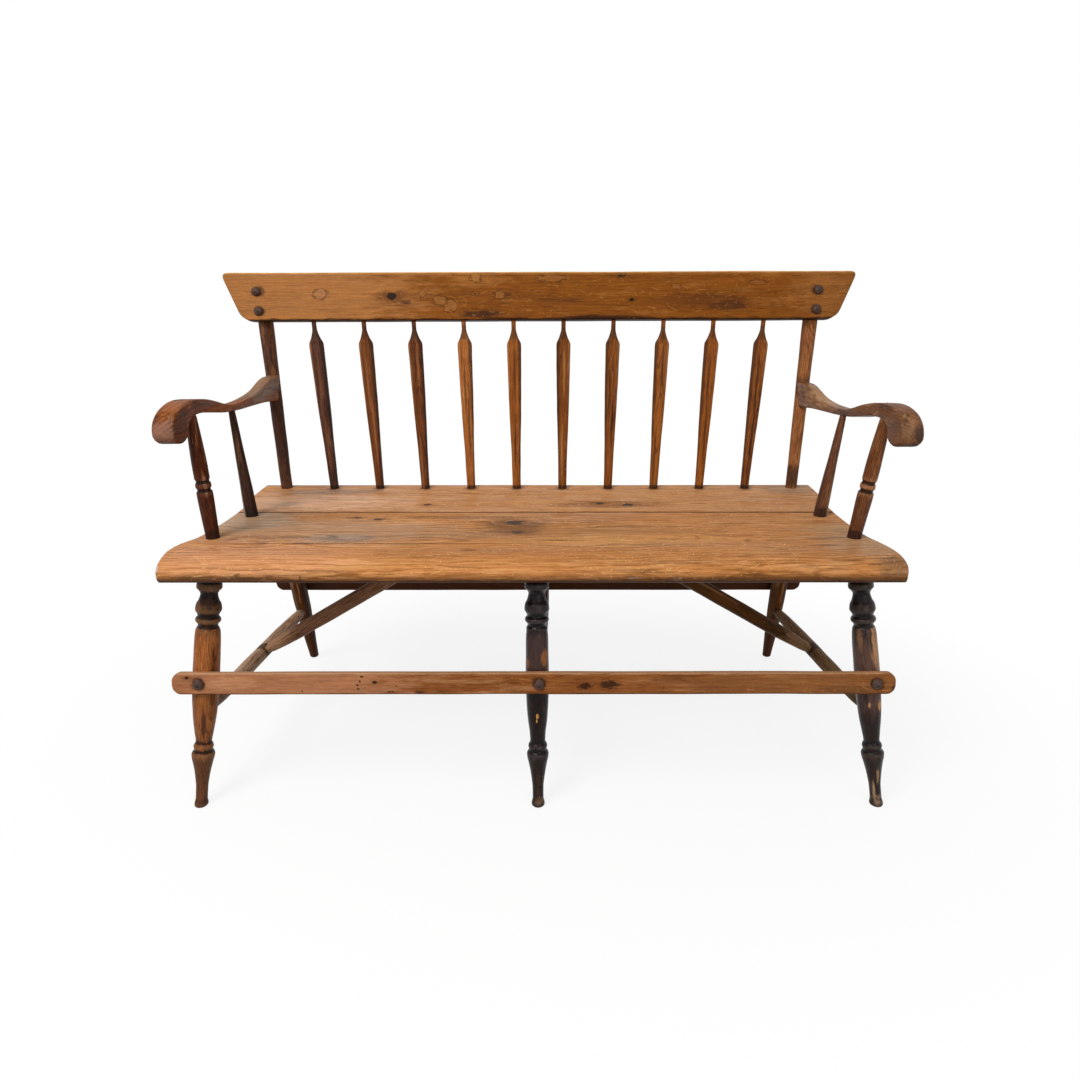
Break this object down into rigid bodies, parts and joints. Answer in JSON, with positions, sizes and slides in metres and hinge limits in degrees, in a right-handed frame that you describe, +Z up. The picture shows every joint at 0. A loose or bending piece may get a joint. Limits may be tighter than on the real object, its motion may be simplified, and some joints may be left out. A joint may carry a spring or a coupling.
{
  "type": "deacons bench",
  "caption": "Long plank-seat bench with an arrow-spindle back under one crest rail, scrolled arms, turned front legs, plain raked rear legs and pegged stretchers.",
  "frame": {"origin": "middle of the bounding box at floor level, under the seat", "axes": "+X to the right as seen from the front, along the seat and the crest rail; +Y from the front edge of the seat to the back; +Z up. The sitter looks towards -Y."},
  "size_m": [1.2185, 0.5756, 0.8451],
  "materials": {
    "seat_pine": "worn clear wood, satin, pale scratches and grey grime",
    "rail_pine": "worn clear wood, satin, dark knots",
    "board_pine": "worn clear wood, matt, small dark pits",
    "golden_wood": "clear wood, satin, dark smudges at the feet",
    "dark_wood": "dark stained wood, satin, worn at the edges",
    "arm_wood": "handled wood, satin, grey-tan sheen",
    "red_wood": "dark reddish brown wood, satin",
    "orange_wood": "orange-brown wood with blackened turnings, satin",
    "grey_wood": "dry grey-brown wood, matt",
    "peg_wood": "dark grey-brown wood, satin"
  },
  "bodies": {
    "root": {"seat_board_front": "seat_pine", "seat_board_rear": "seat_pine", "seat_dowel_1": "golden_wood", "seat_dowel_2": "golden_wood", "seat_dowel_3": "golden_wood", "seat_dowel_4": "golden_wood", "crest_rail": "rail_pine", "crest_peg_1": "peg_wood", "crest_peg_2": "peg_wood", "crest_peg_3": "peg_wood", "crest_peg_4": "peg_wood", "back_post_left": "dark_wood", "back_post_right": "golden_wood", "arrow_spindle_01": "dark_wood", "arrow_spindle_02": "dark_wood", "arrow_spindle_03": "dark_wood", "arrow_spindle_04": "golden_wood", "arrow_spindle_05": "golden_wood", "arrow_spindle_06": "golden_wood", "arrow_spindle_07": "golden_wood", "arrow_spindle_08": "golden_wood", "arrow_spindle_09": "golden_wood", "arrow_spindle_10": "golden_wood", "arm_left": "arm_wood", "arm_post_left": "red_wood", "arm_spindle_left": "dark_wood", "arm_right": "arm_wood", "arm_post_right": "red_wood", "arm_spindle_right": "red_wood", "front_leg_left": "orange_wood", "rear_leg_left": "golden_wood", "front_leg_middle": "dark_wood", "rear_leg_middle": "golden_wood", "front_leg_right": "dark_wood", "rear_leg_right": "golden_wood", "front_stretcher": "board_pine", "rear_stretcher": "board_pine", "front_stretcher_peg_1": "peg_wood", "front_stretcher_peg_2": "peg_wood", "front_stretcher_peg_3": "peg_wood", "rear_stretcher_peg_1": "peg_wood", "rear_stretcher_peg_2": "peg_wood", "rear_stretcher_peg_3": "peg_wood", "side_stretcher_left": "grey_wood", "side_stretcher_middle": "grey_wood", "side_stretcher_right": "grey_wood", "seat_brace_left": "grey_wood", "seat_brace_right": "grey_wood"}
  },
  "joints": []
}
